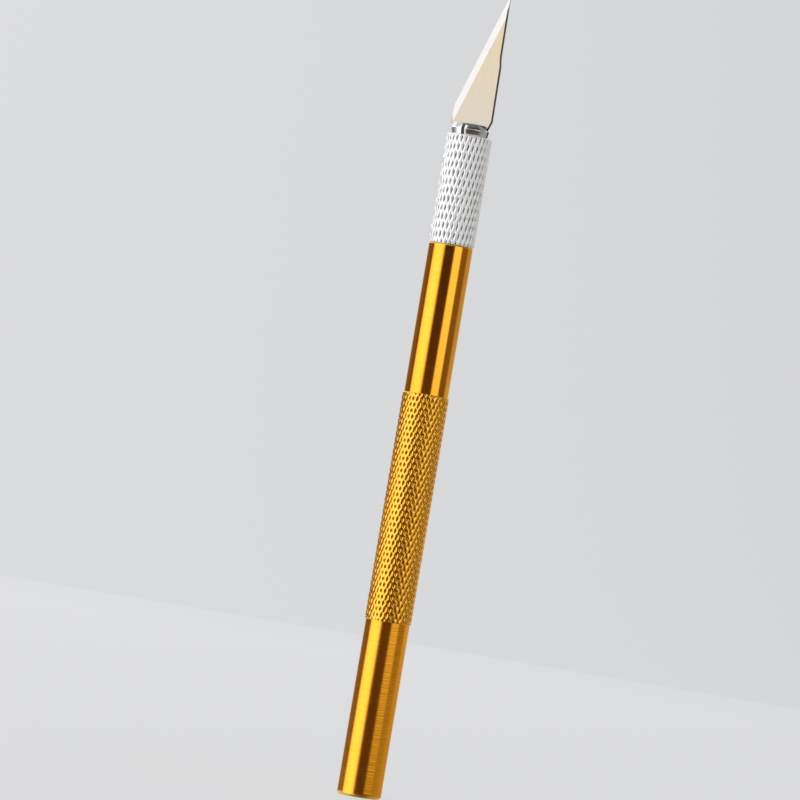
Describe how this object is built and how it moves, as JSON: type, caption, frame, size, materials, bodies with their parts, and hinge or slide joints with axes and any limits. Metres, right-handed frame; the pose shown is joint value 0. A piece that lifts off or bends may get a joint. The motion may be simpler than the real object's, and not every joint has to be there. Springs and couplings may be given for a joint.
{
  "type": "craft knife",
  "caption": "Slim upright craft knife: knurled round handle, knurled collar, split draw-in collet and a pointed replaceable blade.",
  "frame": {"origin": "centre of the handle's flat butt face, on which the knife stands", "axes": "+Z along the knife's axis from the butt to the blade tip; the blade lies in the XZ plane with its spine towards +X and its cutting edge towards -X; +Y is square to the blade's flat"},
  "size_m": [0.0084, 0.0084, 0.1444],
  "materials": {
    "gold_anodised": "bright gold anodised",
    "bare_aluminium": "bright, knurled",
    "collet_metal": "turned",
    "blade_steel": "ground and honed"
  },
  "bodies": {
    "handle": {"handle": "gold_anodised"},
    "collar": {"collar": "bare_aluminium"},
    "collet": {"collet_stem": "collet_metal"},
    "jaw_1": {"collet_jaw_1": "collet_metal"},
    "jaw_2": {"collet_jaw_2": "collet_metal"},
    "jaw_3": {"collet_jaw_3": "collet_metal"},
    "jaw_4": {"collet_jaw_4": "collet_metal"},
    "blade": {"blade": "blade_steel"}
  },
  "joints": [
    {"name": "collar_turn", "type": "hinge", "parent": "handle", "child": "collar", "pos_m": [0, 0, 0.0989], "axis": [0, 0, 1], "range_deg": [0, 540]},
    {"name": "collet_feed", "type": "slide", "parent": "collar", "child": "collet", "axis": [0, 0, 1], "range_m": [0, 0.0012]},
    {"name": "jaw_1_open", "type": "hinge", "parent": "collet", "child": "jaw_1", "pos_m": [0.00177, 0.00177, 0.103], "axis": [-0.7071, 0.7071, 0], "range_deg": [0, 0.9]},
    {"name": "jaw_2_open", "type": "hinge", "parent": "collet", "child": "jaw_2", "pos_m": [-0.00177, 0.00177, 0.103], "axis": [-0.7071, -0.7071, 0], "range_deg": [0, 0.9]},
    {"name": "jaw_3_open", "type": "hinge", "parent": "collet", "child": "jaw_3", "pos_m": [-0.00177, -0.00177, 0.103], "axis": [0.7071, -0.7071, 0], "range_deg": [0, 0.9]},
    {"name": "jaw_4_open", "type": "hinge", "parent": "collet", "child": "jaw_4", "pos_m": [0.00177, -0.00177, 0.103], "axis": [0.7071, 0.7071, 0], "range_deg": [0, 0.9]},
    {"name": "blade_slide", "type": "slide", "parent": "collet", "child": "blade", "axis": [0, 0, 1], "range_m": [0, 0.0185]}
  ],
  "couplings": [
    {"joint": "collar_turn", "follows": "collet_feed", "rad_per_m": 7853.9},
    {"joint": "jaw_1_open", "follows": "collet_feed", "rad_per_m": 13.09},
    {"joint": "jaw_2_open", "follows": "collet_feed", "rad_per_m": 13.09},
    {"joint": "jaw_3_open", "follows": "collet_feed", "rad_per_m": 13.09},
    {"joint": "jaw_4_open", "follows": "collet_feed", "rad_per_m": 13.09}
  ]
}
